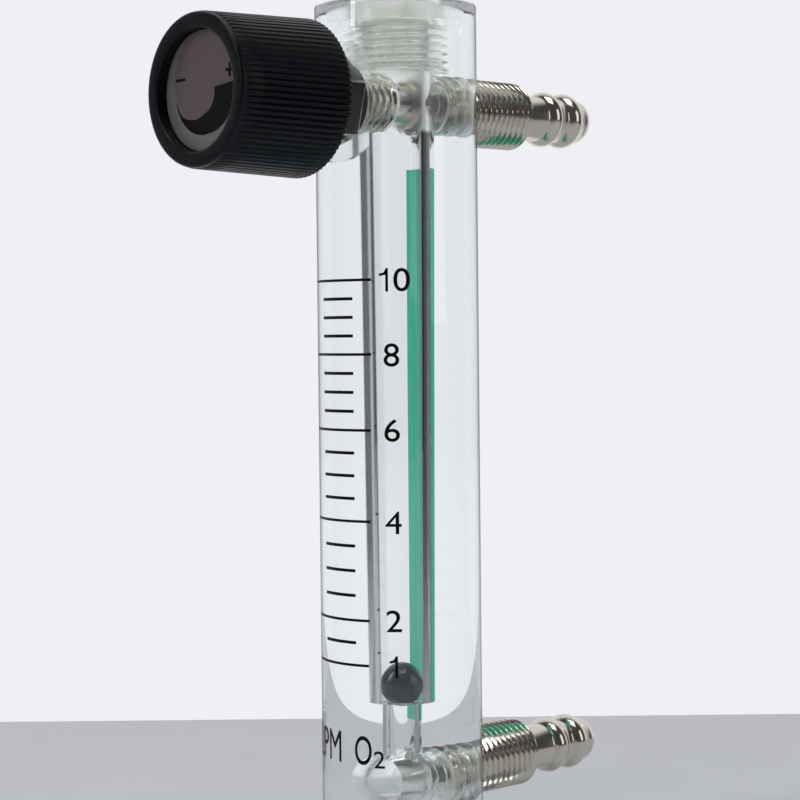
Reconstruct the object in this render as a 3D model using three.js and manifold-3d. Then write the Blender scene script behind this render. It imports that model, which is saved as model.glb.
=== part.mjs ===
// Clear acrylic gas flowmeter, 1 to 10 litres a minute: a rod body with a tapered bore and a float ball,
// a needle valve with a knob on the front, and two plated hose fittings on the back.
// Millimetres. +Z is up along the rod, the knob points to -Y and the hose fittings to +Y.
// The origin is the middle of the rod's flat base.
import * as THREE from 'three';
import { mergeVertices } from 'three/addons/utils/BufferGeometryUtils.js';
import Module from 'manifold-3d';

const wasm = await Module();
wasm.setup();

// Rod body
const BODY_D = 22;
const BODY_CHAMFER = 0.25;
const LOWER_PORT_Z = 13;
const PORT_SPACING = 91.4;
const TOP_ABOVE_PORT = 13.6;

// Float, and the tapered bore that it rides in
const FLOAT_D = 5.9;
const FLOAT_GAP = 0.15;
const BORE_TAPER = 0.95;
const FLOAT_SEAT_ABOVE_PORT = 10.5;
const INLET_HOLE_D = 3.6;

// Threads, made plain at their outer diameter
const PORT_THREAD_D = 7.94;
const PANEL_THREAD_STEP = 0.795;
const PLUG_THREAD_D = 9.53;
const THREAD_GAP = 0.12;
const THREAD_BEVEL = 0.4;

// Ports
const REAR_SPOT_GAP = 0.535;
const REAR_SPOT_DEPTH = 1.6;
const UPPER_THREAD_DEPTH = 6.4;
const LOWER_THREAD_DEPTH = 9.2;
const FITTING_REACH = 5.9;
const PORT_DRILL_D = 6.8;
const LOWER_DRILL_PAST_AXIS = 3.2;
const DRILL_POINT_HALF_ANGLE = 59;
const FRONT_SPOT_D = 16;
const FRONT_SPOT_DEPTH = 1.3;

// Hose fitting
const FITTING_BORE_D = 3.4;
const FITTING_THREAD_LENGTH = 12.2;
const FITTING_NECK_D = 6.3;
const BARB_D = 7.9;
const BARB_PITCH = 4.1;
const BARB_CROWN = 0.25;
const BARB_CROWN_LENGTH = 0.68;
const FIRST_BARB = 6.3;
const TIP_D = 5.4;
const TIP_AFTER_BARB = 3.8;
const TIP_BEVEL = 0.4;
const TIP_BEVEL_LENGTH = 1.2;
const SEAL_WASHER_T = 0.8;

// Top plug
const PLUG_HEAD_LIP = 1.2;
const PLUG_HEAD_H = 2.4;
const PLUG_HEAD_GAP = 0.3;
const PLUG_SOCKET_AF = 5;
const PLUG_SOCKET_DEPTH = 7;
const PLUG_SEAL_T = 0.8;
const PLUG_ABOVE_CHAMBER = 0.2;

// Needle valve
const BUSHING_THREAD_LENGTH = 6.5;
const BUSHING_NOSE_D = 5.4;
const NOSE_COLLAR_D = 6.4;
const NOSE_COLLAR_LENGTH = 1.9;
const NOSE_WALL = 1.3;
const NOSE_SEAL_T = 0.85;
const NOSE_PORT_D = 2.4;
const VALVE_SEAT_PAST_AXIS = 1.6;
const ORIFICE_D = 1.9;
const BUSHING_NECK_D = 6.6;
const SPINDLE_D = 3.9;
const SPINDLE_GAP = 0.15;
const NEEDLE_D = 2.4;
const NEEDLE_TAPER = 2.9;
const NEEDLE_TIP_D = 0.5;
const NEEDLE_ROOT_GAP = 0.5;
const SPINDLE_SEAL_T = 0.85;
const NUT_AF = 11.1;
const NUT_H = 4.3;
const NUT_TURN = 14;
const NUT_WASHER_D = 10.6;
const NUT_WASHER_T = 1.7;

// Knob
const KNOB_D = 20.8;
const KNOB_FRONT_D = 19.5;
const KNOB_L = 17.6;
const KNOB_WALL = 1.7;
const KNOB_EDGE = 0.7;
const KNOB_HUB_D = 8;
const KNOB_WEB = 1.5;
const KNOB_ABOVE_NUT = 1.2;
const LABEL_D = 15.3;
const LABEL_T = 0.3;
const LABEL_RECESS = 1.8;
const SCREW_D = 2.5;
const SCREW_HEAD_D = 4.6;
const SCREW_HEAD_H = 1.4;
const SCREW_HEAD_BEVEL = 0.4;
const SCREW_HOLE_DEPTH = 6;
const SCREW_END_GAP = 0.5;

// Clearance between faces that meet, and how far a cut runs out past the face that it opens
const NEST = 0.05;
const OVER = 1;

// Facets round each kind of surface
const ROUND = 40;
const SMALL_ROUND = 24;
const ROD_ROUND = 64;
const KNOB_ROUND = 56;
const SEAL_ROUND = 10;
const BALL_ROWS = 16;

// Places worked out from the sizes above
const bodyR = BODY_D / 2;
const upperPortZ = LOWER_PORT_Z + PORT_SPACING;
const bodyH = upperPortZ + TOP_ABOVE_PORT;
const boreBottomR = (FLOAT_D + FLOAT_GAP) / 2;
const boreTopR = boreBottomR + BORE_TAPER / 2;
const portR = PORT_THREAD_D / 2 + THREAD_GAP;
const panelThreadR = PORT_THREAD_D / 2 + PANEL_THREAD_STEP;
const rearSpotR = panelThreadR + REAR_SPOT_GAP;
const plugHeadR = PLUG_THREAD_D / 2 + PLUG_HEAD_LIP;
const floatSeatZ = LOWER_PORT_Z + FLOAT_SEAT_ABOVE_PORT;
const chamberTopZ = upperPortZ + portR;
const frontSeat = bodyR - FRONT_SPOT_DEPTH;
const rearSeat = bodyR - REAR_SPOT_DEPTH;
const upperThreadEnd = rearSeat - UPPER_THREAD_DEPTH;
const lowerThreadEnd = rearSeat - LOWER_THREAD_DEPTH;
const fittingEnd = rearSeat - FITTING_REACH;
const fittingShoulder = rearSeat + SEAL_WASHER_T + 2 * NEST;
const plugHeadSeatZ = bodyH - PLUG_HEAD_H;
const plugCounterboreZ = plugHeadSeatZ - NEST;
const plugSealSeatZ = plugHeadSeatZ - PLUG_SEAL_T - 2 * NEST;
const plugEndZ = chamberTopZ + PLUG_ABOVE_CHAMBER;
const bushingThreadEnd = frontSeat - BUSHING_THREAD_LENGTH;
const nutStart = frontSeat + NUT_WASHER_T + 2 * NEST;
const nutEnd = nutStart + NUT_H;
const knobBack = nutEnd + KNOB_ABOVE_NUT;
const knobFront = knobBack + KNOB_L;
const labelSeat = knobFront - LABEL_RECESS;
const screwSeat = labelSeat - SCREW_HEAD_H - 2 * NEST;
const webBack = screwSeat - KNOB_WEB;
const spindleEnd = webBack - NEST;
const spindleBoreR = SPINDLE_D / 2 + SPINDLE_GAP;
const spindleHoleEnd = spindleEnd - SCREW_HOLE_DEPTH;

const MATERIALS = {
  acrylic: { color: 0xe9eeee, roughness: 0.05, metalness: 0, transparent: true, opacity: 0.35 },
  nylon: { color: 0xc9cac4, roughness: 0.45, metalness: 0 },
  nickel: { color: 0xb9b2a2, roughness: 0.2, metalness: 1 },
  steel: { color: 0x9a9a98, roughness: 0.3, metalness: 1 },
  blackPlastic: { color: 0x17181b, roughness: 0.45, metalness: 0 },
  blackAlloy: { color: 0x1b1a1a, roughness: 0.25, metalness: 0.8 },
  rubber: { color: 0x1a1a1a, roughness: 0.8, metalness: 0 },
  foil: { color: 0x6a6365, roughness: 0.4, metalness: 0.4 },
  glass: { color: 0x3c3e40, roughness: 0.1, metalness: 0 },
};

function solid(geometry) {
  const bare = geometry.clone();
  bare.deleteAttribute('normal');
  bare.deleteAttribute('uv');
  const merged = mergeVertices(bare, 1e-5);
  return new wasm.Manifold(new wasm.Mesh({
    numProp: 3,
    vertProperties: new Float32Array(merged.attributes.position.array),
    triVerts: new Uint32Array(merged.index.array),
  }));
}

function geometryOf(manifold) {
  const mesh = manifold.getMesh();
  const geometry = new THREE.BufferGeometry();
  geometry.setAttribute('position', new THREE.BufferAttribute(new Float32Array(mesh.vertProperties), 3));
  geometry.setIndex(new THREE.BufferAttribute(new Uint32Array(mesh.triVerts), 1));
  geometry.computeVertexNormals();
  return geometry;
}

// A round body about Z from an outline of [radius, height] points, going up along its outside.
function turned(outline, segments = ROUND) {
  const points = outline.map(([r, z]) => new THREE.Vector2(r, z));
  return new THREE.LatheGeometry(points, segments).rotateX(Math.PI / 2);
}

function rod(radius, from, to, segments = ROUND) {
  return turned([[0, from], [radius, from], [radius, to], [0, to]], segments);
}

function ring(outer, inner, from, to, segments = ROUND) {
  return turned([[inner, from], [outer, from], [outer, to], [inner, to], [inner, from]], segments);
}

function seal(middle, thickness, height) {
  return new THREE.TorusGeometry(middle, thickness / 2, SEAL_ROUND, SMALL_ROUND).translate(0, 0, height);
}

// A prism about Z with a hexagon across the flats given, one pair of flats facing X before any turn.
function hexagon(acrossFlats, from, to, turn = 0) {
  const corner = acrossFlats / Math.sqrt(3);
  const outline = new THREE.Shape();
  for (let i = 0; i < 6; i += 1) {
    const angle = THREE.MathUtils.degToRad(turn) + Math.PI / 6 + (i * Math.PI) / 3;
    const point = [corner * Math.cos(angle), corner * Math.sin(angle)];
    if (i === 0) outline.moveTo(...point);
    else outline.lineTo(...point);
  }
  outline.closePath();
  return new THREE.ExtrudeGeometry(outline, { depth: to - from, bevelEnabled: false }).translate(0, 0, from);
}

const towardsRear = (geometry, z) => geometry.rotateX(-Math.PI / 2).translate(0, 0, z);
const towardsFront = (geometry, z) => geometry.rotateX(Math.PI / 2).translate(0, 0, z);

const group = new THREE.Group();

function add(name, geometry, material) {
  const mesh = new THREE.Mesh(geometry, new THREE.MeshStandardMaterial(MATERIALS[material]));
  mesh.name = name;
  group.add(mesh);
  return mesh;
}

function boreCut() {
  return turned([
    [0, LOWER_PORT_Z], [INLET_HOLE_D / 2, LOWER_PORT_Z], [INLET_HOLE_D / 2, floatSeatZ],
    [boreBottomR, floatSeatZ], [boreTopR, upperPortZ], [boreTopR, plugEndZ], [0, plugEndZ],
  ]);
}

function plugHoleCut() {
  const over = bodyH + OVER;
  const head = plugHeadR + PLUG_HEAD_GAP;
  const thread = PLUG_THREAD_D / 2 + THREAD_GAP;
  const sealSeat = thread + PLUG_SEAL_T / 2;
  const floor = plugEndZ - NEST;
  return turned([
    [0, floor], [thread, floor], [thread, plugSealSeatZ], [sealSeat, plugSealSeatZ],
    [sealSeat, plugCounterboreZ], [head, plugCounterboreZ], [head, over], [0, over],
  ]);
}

function lowerPortCut() {
  const drill = PORT_DRILL_D / 2;
  const point = drill / Math.tan(THREE.MathUtils.degToRad(DRILL_POINT_HALF_ANGLE));
  return towardsRear(turned([
    [0, -LOWER_DRILL_PAST_AXIS - point], [drill, -LOWER_DRILL_PAST_AXIS], [drill, lowerThreadEnd],
    [portR, lowerThreadEnd], [portR, rearSeat], [rearSpotR, rearSeat],
    [rearSpotR, bodyR + OVER], [0, bodyR + OVER],
  ]), LOWER_PORT_Z);
}

// One hole drilled right through the rod, with a thread for the fitting at its rear end.
function upperRearPortCut() {
  const drill = PORT_DRILL_D / 2;
  return towardsRear(turned([
    [0, -bushingThreadEnd - OVER], [drill, -bushingThreadEnd - OVER], [drill, upperThreadEnd],
    [portR, upperThreadEnd], [portR, rearSeat], [rearSpotR, rearSeat],
    [rearSpotR, bodyR + OVER], [0, bodyR + OVER],
  ]), upperPortZ);
}

function upperFrontPortCut() {
  return towardsFront(turned([
    [0, bushingThreadEnd], [portR, bushingThreadEnd], [portR, frontSeat],
    [FRONT_SPOT_D / 2, frontSeat], [FRONT_SPOT_D / 2, bodyR + OVER], [0, bodyR + OVER],
  ]), upperPortZ);
}

function body() {
  const c = BODY_CHAMFER;
  const blank = solid(turned([
    [0, 0], [bodyR - c, 0], [bodyR, c], [bodyR, bodyH - c], [bodyR - c, bodyH], [0, bodyH],
  ], ROD_ROUND));
  const cuts = [boreCut(), plugHoleCut(), lowerPortCut(), upperRearPortCut(), upperFrontPortCut()];
  add('body', geometryOf(cuts.reduce((left, cut) => left.subtract(solid(cut)), blank)), 'acrylic');
}

// Plug in the top of the rod, which closes the hole that the bore was cut through.
function topPlug() {
  const neck = PLUG_THREAD_D / 2 - PLUG_SEAL_T;
  const blank = solid(turned([
    [0, plugEndZ + NEST], [PLUG_THREAD_D / 2, plugEndZ + NEST], [PLUG_THREAD_D / 2, plugSealSeatZ],
    [neck, plugSealSeatZ], [neck, plugHeadSeatZ], [plugHeadR, plugHeadSeatZ],
    [plugHeadR, bodyH], [0, bodyH],
  ]));
  const socket = solid(hexagon(PLUG_SOCKET_AF, bodyH - PLUG_SOCKET_DEPTH, bodyH + OVER));
  add('top_plug', geometryOf(blank.subtract(socket)), 'nylon');
  const middle = neck + NEST + PLUG_SEAL_T / 2;
  add('top_plug_seal', seal(middle, PLUG_SEAL_T, plugHeadSeatZ - NEST - PLUG_SEAL_T / 2), 'rubber');
}

// Plated brass hose fitting: port thread, panel thread, and a spigot with two round barbs.
function hoseFitting(name, z) {
  const bore = FITTING_BORE_D / 2;
  const port = PORT_THREAD_D / 2;
  const neck = FITTING_NECK_D / 2;
  const barb = BARB_D / 2;
  const crown = barb - BARB_CROWN;
  const tip = TIP_D / 2;
  const threadEnd = fittingShoulder + FITTING_THREAD_LENGTH;
  const crests = [threadEnd + FIRST_BARB, threadEnd + FIRST_BARB + BARB_PITCH];
  const end = crests[1] + TIP_AFTER_BARB;
  const barbs = crests.flatMap((y) => [
    [neck, y - BARB_PITCH / 2], [crown, y - BARB_CROWN_LENGTH], [barb, y], [crown, y + BARB_CROWN_LENGTH],
  ]);
  const outline = [
    [bore, fittingEnd], [port, fittingEnd], [port, fittingShoulder], [panelThreadR, fittingShoulder],
    [panelThreadR, threadEnd - THREAD_BEVEL], [panelThreadR - THREAD_BEVEL, threadEnd], [neck, threadEnd],
    ...barbs, [tip + TIP_BEVEL, end - TIP_BEVEL_LENGTH], [tip, end], [bore, end], [bore, fittingEnd],
  ];
  add(name, towardsRear(turned(outline), z), 'nickel');
  const washer = ring(panelThreadR, portR, rearSeat + NEST, fittingShoulder - NEST);
  add(`${name}_seal`, towardsRear(washer, z), 'rubber');
}

// The float ball rests on the edge of the inlet hole.
function floatBall() {
  const radius = FLOAT_D / 2;
  const lift = Math.sqrt(radius ** 2 - (INLET_HOLE_D / 2) ** 2) + NEST;
  add('float_ball', new THREE.SphereGeometry(radius, SMALL_ROUND, BALL_ROWS).rotateX(Math.PI / 2), 'glass')
    .position.z = floatSeatZ + lift;
}

// Plated bushing that holds the spindle, with its washer and nut against the spot face. Its nose crosses
// the bore and stops the float. Gas enters the nose from both sides and leaves past the needle through the
// orifice in its end, where a collar with a seal ring closes the drilled hole.
function valveBushing() {
  const thread = PORT_THREAD_D / 2;
  const neck = BUSHING_NECK_D / 2;
  const nose = BUSHING_NOSE_D / 2;
  const collar = NOSE_COLLAR_D / 2;
  const orifice = ORIFICE_D / 2;
  const seat = -VALVE_SEAT_PAST_AXIS;
  const noseEnd = seat - NOSE_WALL;
  const collarStart = noseEnd + NOSE_COLLAR_LENGTH;
  const groove = PORT_DRILL_D / 2 - NOSE_SEAL_T;
  const grooveMiddle = seat - NOSE_WALL / 2;
  const grooveHalf = NOSE_SEAL_T / 2 + NEST;
  const outline = [
    [orifice, noseEnd], [collar, noseEnd], [collar, grooveMiddle - grooveHalf],
    [groove, grooveMiddle - grooveHalf], [groove, grooveMiddle + grooveHalf],
    [collar, grooveMiddle + grooveHalf], [collar, collarStart], [nose, collarStart],
    [nose, bushingThreadEnd], [thread - THREAD_BEVEL, bushingThreadEnd],
    [thread, bushingThreadEnd + THREAD_BEVEL], [thread, frontSeat], [neck, frontSeat], [neck, nutEnd],
    [spindleBoreR, nutEnd], [spindleBoreR, seat], [orifice, seat], [orifice, noseEnd],
  ];
  const ports = rod(NOSE_PORT_D / 2, -nose - OVER, nose + OVER, SMALL_ROUND).rotateY(Math.PI / 2);
  const bushing = solid(turned(outline)).subtract(solid(ports));
  add('valve_bushing', towardsFront(geometryOf(bushing), upperPortZ), 'nickel');
  const noseSeal = seal(groove + NOSE_SEAL_T / 2, NOSE_SEAL_T - 2 * NEST, grooveMiddle);
  add('nose_seal', towardsFront(noseSeal, upperPortZ), 'rubber');
  const washer = ring(NUT_WASHER_D / 2, neck + THREAD_GAP, frontSeat + NEST, nutStart - NEST);
  add('valve_washer', towardsFront(washer, upperPortZ), 'rubber');
  const nut = solid(hexagon(NUT_AF, nutStart, nutEnd, -NUT_TURN))
    .subtract(solid(rod(neck + THREAD_GAP, nutStart - OVER, nutEnd + OVER)));
  add('valve_nut', towardsFront(geometryOf(nut), upperPortZ), 'blackAlloy');
}

// Spindle with its needle at one end, a groove for the seal, and a tapped hole for the knob's screw.
function spindle() {
  const shank = SPINDLE_D / 2;
  const seat = -VALVE_SEAT_PAST_AXIS;
  const needleStart = bushingThreadEnd - NEEDLE_ROOT_GAP;
  const sealStart = frontSeat - BUSHING_THREAD_LENGTH / 2;
  const groove = shank - SPINDLE_SEAL_T + SPINDLE_GAP;
  const grooveLength = SPINDLE_SEAL_T + 4 * NEST;
  const slope = (NEEDLE_D - NEEDLE_TIP_D) / 2 / NEEDLE_TAPER;
  const coneStart = seat + (NEEDLE_D / 2 - ORIFICE_D / 2 + NEST) / slope;
  const hole = SCREW_D / 2 + THREAD_GAP;
  const outline = [
    [0, coneStart - NEEDLE_TAPER], [NEEDLE_TIP_D / 2, coneStart - NEEDLE_TAPER],
    [NEEDLE_D / 2, coneStart], [NEEDLE_D / 2, needleStart], [shank, needleStart], [shank, sealStart],
    [groove, sealStart], [groove, sealStart + grooveLength], [shank, sealStart + grooveLength],
    [shank, spindleEnd], [hole, spindleEnd], [hole, spindleHoleEnd], [0, spindleHoleEnd],
  ];
  add('spindle', towardsFront(turned(outline, SMALL_ROUND), upperPortZ), 'steel');
  const middle = groove + NEST + (SPINDLE_SEAL_T - 2 * NEST) / 2;
  const thick = SPINDLE_SEAL_T - 2 * NEST;
  add('spindle_seal', towardsFront(seal(middle, thick, sealStart + grooveLength / 2), upperPortZ), 'rubber');
}

// Knob: a shell open at the back, with a hub on the spindle and a recess for the round label.
function knob() {
  const radius = KNOB_D / 2;
  const front = KNOB_FRONT_D / 2;
  const inside = front - KNOB_WALL;
  const hub = KNOB_HUB_D / 2;
  const label = LABEL_D / 2 + 2 * NEST;
  const head = SCREW_HEAD_D / 2 + 2 * NEST;
  const shank = SCREW_D / 2 + THREAD_GAP;
  const grip = SPINDLE_D / 2 + THREAD_GAP;
  const outline = [
    [inside, knobBack], [radius, knobBack], [front, knobFront - KNOB_EDGE], [front - KNOB_EDGE, knobFront],
    [label, knobFront], [label, labelSeat], [head, labelSeat], [head, screwSeat], [shank, screwSeat],
    [shank, webBack], [grip, webBack], [grip, knobBack], [hub, knobBack],
    [hub, webBack], [inside, webBack], [inside, knobBack],
  ];
  add('knob', towardsFront(turned(outline, KNOB_ROUND), upperPortZ), 'blackPlastic');
  const disc = rod(LABEL_D / 2, labelSeat + NEST, labelSeat + NEST + LABEL_T);
  add('knob_label', towardsFront(disc, upperPortZ), 'foil');
  const screwTip = spindleHoleEnd + SCREW_END_GAP;
  const underHead = screwSeat + NEST;
  const screwTop = underHead + SCREW_HEAD_H;
  const screw = turned([
    [0, screwTip], [SCREW_D / 2, screwTip], [SCREW_D / 2, underHead], [SCREW_HEAD_D / 2, underHead],
    [SCREW_HEAD_D / 2, screwTop - SCREW_HEAD_BEVEL], [SCREW_HEAD_D / 2 - SCREW_HEAD_BEVEL, screwTop],
    [0, screwTop],
  ], SMALL_ROUND);
  add('knob_screw', towardsFront(screw, upperPortZ), 'steel');
}

body();
topPlug();
hoseFitting('upper_fitting', upperPortZ);
hoseFitting('lower_fitting', LOWER_PORT_Z);
floatBall();
valveBushing();
spindle();
knob();

export default group;
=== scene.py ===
import math

import bmesh
import bpy
from mathutils import Matrix, Vector


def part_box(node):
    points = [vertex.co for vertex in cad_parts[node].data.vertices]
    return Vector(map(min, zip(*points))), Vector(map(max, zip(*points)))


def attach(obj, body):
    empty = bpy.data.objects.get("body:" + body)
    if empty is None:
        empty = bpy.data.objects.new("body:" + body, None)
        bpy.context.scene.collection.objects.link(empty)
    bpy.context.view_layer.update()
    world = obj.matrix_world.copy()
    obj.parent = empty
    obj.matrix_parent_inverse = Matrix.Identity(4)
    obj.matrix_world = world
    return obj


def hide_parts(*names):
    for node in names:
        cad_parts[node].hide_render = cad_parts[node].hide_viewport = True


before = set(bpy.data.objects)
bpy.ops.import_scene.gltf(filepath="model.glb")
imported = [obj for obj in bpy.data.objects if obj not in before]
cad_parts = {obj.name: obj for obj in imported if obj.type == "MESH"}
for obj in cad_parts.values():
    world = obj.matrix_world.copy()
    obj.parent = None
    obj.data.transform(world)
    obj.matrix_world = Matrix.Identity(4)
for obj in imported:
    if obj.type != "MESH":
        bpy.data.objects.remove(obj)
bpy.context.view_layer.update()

MM = 0.001
ALL_ROUND = 2 * math.pi

# Sizes that the looks add to the frame, in millimetres
PANEL_PITCH = 1.058
THREAD_DEPTH = 0.62
THREAD_ROWS = 12
ROD_STEPS = 256
ROUND_STEPS = 96

# Places taken from the frame, in millimetres


def corners(node):
    low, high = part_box(node)
    return low / MM, high / MM


def middle(node):
    low, high = corners(node)
    return (low + high) / 2


BODY_LOW, BODY_HIGH = corners("body")
ROD_R = (BODY_HIGH.x - BODY_LOW.x) / 2
ROD_H = BODY_HIGH.z
UPPER_Z = middle("upper_fitting").z
LOWER_Z = middle("lower_fitting").z
PANEL_R = (corners("upper_fitting")[1].x - corners("upper_fitting")[0].x) / 2
FITTING_IN, FITTING_OUT = corners("upper_fitting")[0].y, corners("upper_fitting")[1].y
SHOULDER = corners("upper_fitting_seal")[1].y + 0.05
REAR_SEAT = corners("upper_fitting_seal")[0].y - 0.05
BUSHING_LOW, BUSHING_HIGH = corners("valve_bushing")
PORT_R = (BUSHING_HIGH.x - BUSHING_LOW.x) / 2
NOSE_END, NUT_END = -BUSHING_HIGH.y, -BUSHING_LOW.y
FRONT_SEAT = -corners("valve_washer")[1].y - 0.05
BUSHING_IN = FRONT_SEAT - 6.5
WASHER_END = -corners("valve_washer")[0].y
WASHER_R = (corners("valve_washer")[1].x - corners("valve_washer")[0].x) / 2
NUT_START = -corners("valve_nut")[1].y
NUT_AF = corners("valve_nut")[1].x - corners("valve_nut")[0].x
KNOB_BACK, KNOB_FRONT = -corners("knob")[1].y, -corners("knob")[0].y
KNOB_R = (corners("knob")[1].x - corners("knob")[0].x) / 2
LABEL_BACK, LABEL_FRONT = -corners("knob_label")[1].y, -corners("knob_label")[0].y
LABEL_R = (corners("knob_label")[1].x - corners("knob_label")[0].x) / 2
FLOAT_R = (corners("float_ball")[1].x - corners("float_ball")[0].x) / 2
FLOAT_Z = middle("float_ball").z
PLUG_LOW, PLUG_HIGH = corners("top_plug")
PLUG_HEAD_R = (PLUG_HIGH.x - PLUG_LOW.x) / 2

# Sizes that repeat the part's own, because the frame's boxes don't give them
INLET_HOLE_R = 1.8
FLOAT_SEAT_Z = LOWER_Z + 10.5
BORE_BOTTOM_R = 3.025
BORE_TOP_R = 3.5
THREAD_GAP = 0.12
PORT_DRILL_R = 3.4
UPPER_THREAD_IN = REAR_SEAT - 6.4
LOWER_THREAD_IN = REAR_SEAT - 9.2
LOWER_DRILL_IN = -3.2
DRILL_POINT = 2.04
ORIFICE_R = 0.95
REAR_SPOT_R = 5.3
FRONT_SPOT_R = 8.0
FITTING_BORE_R = 1.7
FITTING_NECK_R = 3.15
BARB_R = 3.95
THREAD_END = SHOULDER + 12.2
PLUG_THREAD_R = 4.765
PLUG_HEAD_H = 2.4
PLUG_SEAL_T = 0.8
PLUG_HEAD_GAP = 0.3
SOCKET_AF = 5.0
SOCKET_DEPTH = 7.0
BUSHING_NECK_R = 3.3
BUSHING_NOSE_R = 2.7
COLLAR_R = 3.2
COLLAR_LENGTH = 1.9
VALVE_SEAT = -1.6
NOSE_SEAL_T = 0.85
NOSE_PORT_R = 1.2
NUT_TURN = 14
SPINDLE_BORE_R = 2.1


# Camera: level with the middle of the scale, 47 degrees round from the knob towards +X


def make_camera():
    azimuth, down, roll = math.radians(47.064), math.radians(1.836), math.radians(-0.58)
    distance, aim_below_upper_port, aside = 292.18, 39.936, 0.142
    level = math.cos(down)
    forward = Vector((-math.sin(azimuth) * level, math.cos(azimuth) * level, -math.sin(down)))
    right = Vector((math.cos(azimuth), math.sin(azimuth), 0))
    up = right.cross(forward)
    place = Vector((0, 0, UPPER_Z - aim_below_upper_port)) - forward * distance + right * aside
    turned_right = right * math.cos(roll) + up * math.sin(roll)
    turned_up = up * math.cos(roll) - right * math.sin(roll)
    camera = bpy.data.objects.new("camera", bpy.data.cameras.new("camera"))
    camera.data.sensor_width = 36
    camera.data.lens = 36 * 2134.25 / 800
    camera.data.clip_start, camera.data.clip_end = 0.01, 20
    turn = Matrix((turned_right, turned_up, -forward)).transposed().to_4x4()
    camera.matrix_world = Matrix.Translation(place * MM) @ turn
    bpy.context.scene.collection.objects.link(camera)
    bpy.context.scene.camera = camera
    return forward, right


FORWARD, RIGHT = make_camera()
AHEAD = Vector((FORWARD.x, FORWARD.y, 0)).normalized()


# Materials


def linear(hex_colour):
    def channel(byte):
        share = byte / 255
        return share / 12.92 if share <= 0.04045 else ((share + 0.055) / 1.055) ** 2.4

    red, green, blue = (int(hex_colour[i : i + 2], 16) for i in (1, 3, 5))
    return (channel(red), channel(green), channel(blue), 1.0)


def add_node(tree, kind, settings=None, **links):
    """Adds one node. settings holds inputs by name or number, or attributes. links holds the socket that
    feeds an input, under the input's name or under an underscore and its number."""
    node = tree.nodes.new(kind)
    for key, value in (settings or {}).items():
        if isinstance(key, int) or key in node.inputs:
            node.inputs[key].default_value = value
        else:
            setattr(node, key, value)
    for name, source in links.items():
        target = int(name[1:]) if name[1:].isdigit() else name.replace("_", " ")
        tree.links.new(source, node.inputs[target])
    return node


def new_material(name):
    material = bpy.data.materials.new(name)
    material.use_nodes = True
    tree = material.node_tree
    tree.nodes.clear()
    output = tree.nodes.new("ShaderNodeOutputMaterial")
    place = tree.nodes.new("ShaderNodeTexCoord").outputs["Object"]
    return material, tree, output, place


def let_light_through(tree, shader, output, tint):
    """Lamps reach what lies inside: shadow rays pass the clear plastic as through a faint filter."""
    shadow = add_node(tree, "ShaderNodeLightPath").outputs["Is Shadow Ray"]
    open_air = add_node(tree, "ShaderNodeBsdfTransparent", {"Color": linear(tint)})
    mixed = add_node(tree, "ShaderNodeMixShader", _0=shadow, _1=shader, _2=open_air.outputs[0])
    tree.links.new(mixed.outputs[0], output.inputs["Surface"])


def polished_acrylic():
    # Cast acrylic rod, flame polished: water clear with a faint cool tint and a few hair scratches. At its
    # outline a grey diffuse is mixed in at glancing angles: painted shade that draws a thin dark line down
    # each side.
    material, tree, output, place = new_material("polished_cast_acrylic")
    scratches = add_node(tree, "ShaderNodeTexNoise", {"Scale": 1 / (0.6 * MM), "Detail": 4}, Vector=place)
    roughness = add_node(tree, "ShaderNodeMapRange", {"To Max": 0.02}, Value=scratches.outputs[0])
    clear = add_node(
        tree, "ShaderNodeBsdfPrincipled",
        {"Base Color": linear("#fbfdfd"), "IOR": 1.49, "Transmission Weight": 1.0},
        Roughness=roughness.outputs[0],
    )
    # Painted shade: a grey diffuse mixed in near the outline draws the dark line down each side.
    glancing = add_node(tree, "ShaderNodeLayerWeight").outputs["Facing"]
    outline = add_node(tree, "ShaderNodeMapRange", {"From Min": 0.76, "From Max": 0.9, "To Max": 0.6},
                       Value=glancing)
    grey = add_node(tree, "ShaderNodeBsdfDiffuse", {"Color": linear("#5a5c5e")})
    mixed = add_node(tree, "ShaderNodeMixShader",
                     _0=outline.outputs[0], _1=clear.outputs[0], _2=grey.outputs[0])
    let_light_through(tree, mixed.outputs[0], output, "#f4f8f8")
    return material


def painted_band_share(tree, outwards, degrees):
    """Share of a painted dark band along the bore wall, a painted reflection strongest on the side that
    faces the angle given.
    """
    angle = math.radians(degrees)
    middle_of_band = (math.cos(angle), math.sin(angle), 0)
    facing = add_node(tree, "ShaderNodeVectorMath",
                      {"operation": "DOT_PRODUCT", 1: middle_of_band}, _0=outwards)
    return add_node(tree, "ShaderNodeMapRange", {"From Min": 0.955, "From Max": 0.985, "To Min": 0.12},
                    Value=facing.outputs["Value"]).outputs[0]


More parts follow.
